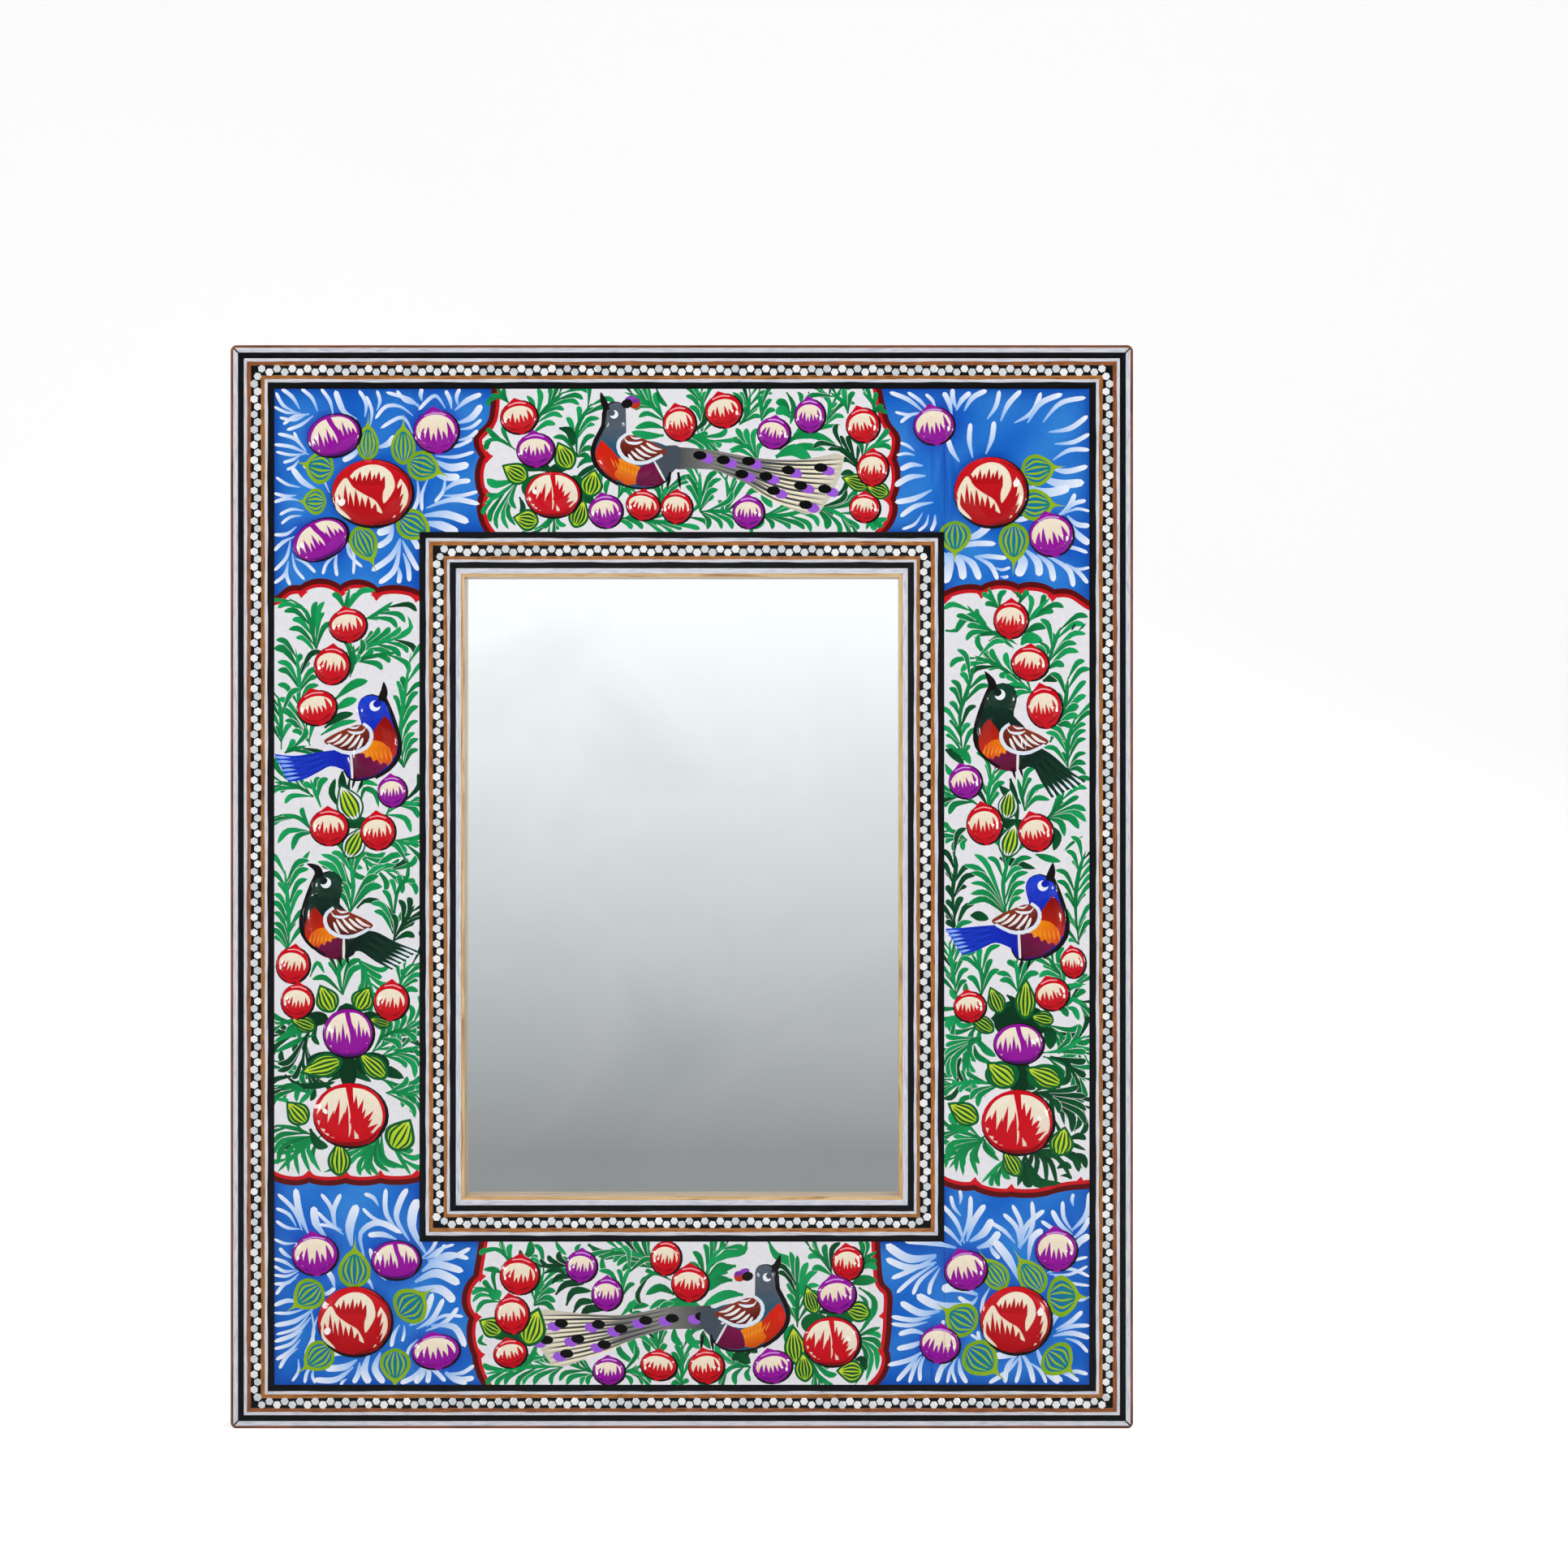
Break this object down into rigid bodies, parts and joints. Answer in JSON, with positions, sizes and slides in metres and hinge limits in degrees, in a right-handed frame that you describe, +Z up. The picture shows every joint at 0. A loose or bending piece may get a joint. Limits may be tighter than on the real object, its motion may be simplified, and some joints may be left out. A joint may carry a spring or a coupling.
{
  "type": "inlaid wooden mirror",
  "caption": "Rectangular wall or table mirror in a wide mitred wooden frame with inlaid borders, painted panels, a hinged easel strut and a hanging ring.",
  "frame": {"origin": "bottom centre of the whole object with the strut closed: on the lower edge, halfway across the width and halfway through the depth, the painting's relief included", "axes": "+Z up the long side, +X to the right as the glass is faced, -Y out of the face of the glass, +Y towards the strut"},
  "size_m": [0.25, 0.023, 0.3],
  "materials": {
    "rail_wood": "plain sanded wood, polished at the sight edge",
    "side_veneer": "varnished brown veneer",
    "white_lath": "lacquered bone-white lath",
    "black_lath": "black lath under clear lacquer",
    "inlay_strip": "marquetry strip of white, brown and black laths with pale hexagons, lacquered",
    "painted_panel": "white sheet painted with flowers and birds in relief, under glossy lacquer",
    "silvered_glass": "flat polished silvered glass",
    "grey_card": "plain grey card",
    "brown_board": "brown hardboard",
    "brass": "satin brass",
    "steel": "plated steel"
  },
  "bodies": {
    "frame": {"rail_top": "rail_wood", "rail_left": "rail_wood", "rail_bottom": "rail_wood", "rail_right": "rail_wood", "corner_nail_top_left": "steel", "corner_nail_top_right": "steel", "corner_nail_bottom_left": "steel", "corner_nail_bottom_right": "steel", "side_veneer_top": "side_veneer", "side_veneer_left": "side_veneer", "side_veneer_bottom": "side_veneer", "side_veneer_right": "side_veneer", "white_edging_top": "white_lath", "white_edging_left": "white_lath", "white_edging_bottom": "white_lath", "white_edging_right": "white_lath", "black_lath_top": "black_lath", "black_lath_left": "black_lath", "black_lath_bottom": "black_lath", "black_lath_right": "black_lath", "outer_inlay_strip_top": "inlay_strip", "outer_inlay_strip_left": "inlay_strip", "outer_inlay_strip_bottom": "inlay_strip", "outer_inlay_strip_right": "inlay_strip", "inner_inlay_strip_top": "inlay_strip", "inner_inlay_strip_left": "inlay_strip", "inner_inlay_strip_bottom": "inlay_strip", "inner_inlay_strip_right": "inlay_strip", "white_lip_lath_top": "white_lath", "white_lip_lath_left": "white_lath", "white_lip_lath_bottom": "white_lath", "white_lip_lath_right": "white_lath", "painted_panel_left": "painted_panel", "painted_panel_right": "painted_panel", "painted_panel_top": "painted_panel", "painted_panel_bottom": "painted_panel", "mirror_glass": "silvered_glass", "card_spacer": "grey_card", "backing_board": "brown_board", "turn_button_screw_top_left": "brass", "turn_button_screw_top_right": "brass", "turn_button_screw_bottom_left": "brass", "turn_button_screw_bottom_right": "brass", "hinge_leaf_board": "steel", "hinge_pin": "steel", "board_rivet_left": "steel", "board_rivet_right": "steel", "hanger_strap": "brass", "hanger_screw": "brass"},
    "strut": {"easel_strut": "brown_board", "hinge_leaf_strut": "steel", "strut_rivet_left": "steel", "strut_rivet_right": "steel"},
    "button_top_left": {"turn_button_top_left": "brass"},
    "button_top_right": {"turn_button_top_right": "brass"},
    "button_bottom_left": {"turn_button_bottom_left": "brass"},
    "button_bottom_right": {"turn_button_bottom_right": "brass"},
    "ring": {"hanging_ring": "brass"}
  },
  "joints": [
    {"name": "strut_hinge", "type": "hinge", "parent": "frame", "child": "strut", "pos_m": [0, 0.00615, 0.205], "axis": [1, 0, 0], "range_deg": [0, 30]},
    {"name": "button_turn_top_left", "type": "hinge", "parent": "frame", "child": "button_top_left", "pos_m": [-0.045, 0.0052, 0.247], "axis": [0, 1, 0], "continuous": true},
    {"name": "button_turn_top_right", "type": "hinge", "parent": "frame", "child": "button_top_right", "pos_m": [0.045, 0.0052, 0.247], "axis": [0, 1, 0], "continuous": true},
    {"name": "button_turn_bottom_left", "type": "hinge", "parent": "frame", "child": "button_bottom_left", "pos_m": [-0.045, 0.0052, 0.053], "axis": [0, 1, 0], "continuous": true},
    {"name": "button_turn_bottom_right", "type": "hinge", "parent": "frame", "child": "button_bottom_right", "pos_m": [0.045, 0.0052, 0.053], "axis": [0, 1, 0], "continuous": true},
    {"name": "ring_swing", "type": "hinge", "parent": "frame", "child": "ring", "pos_m": [0, 0.00655, 0.28], "axis": [1, 0, 0], "range_deg": [0, 180]}
  ]
}
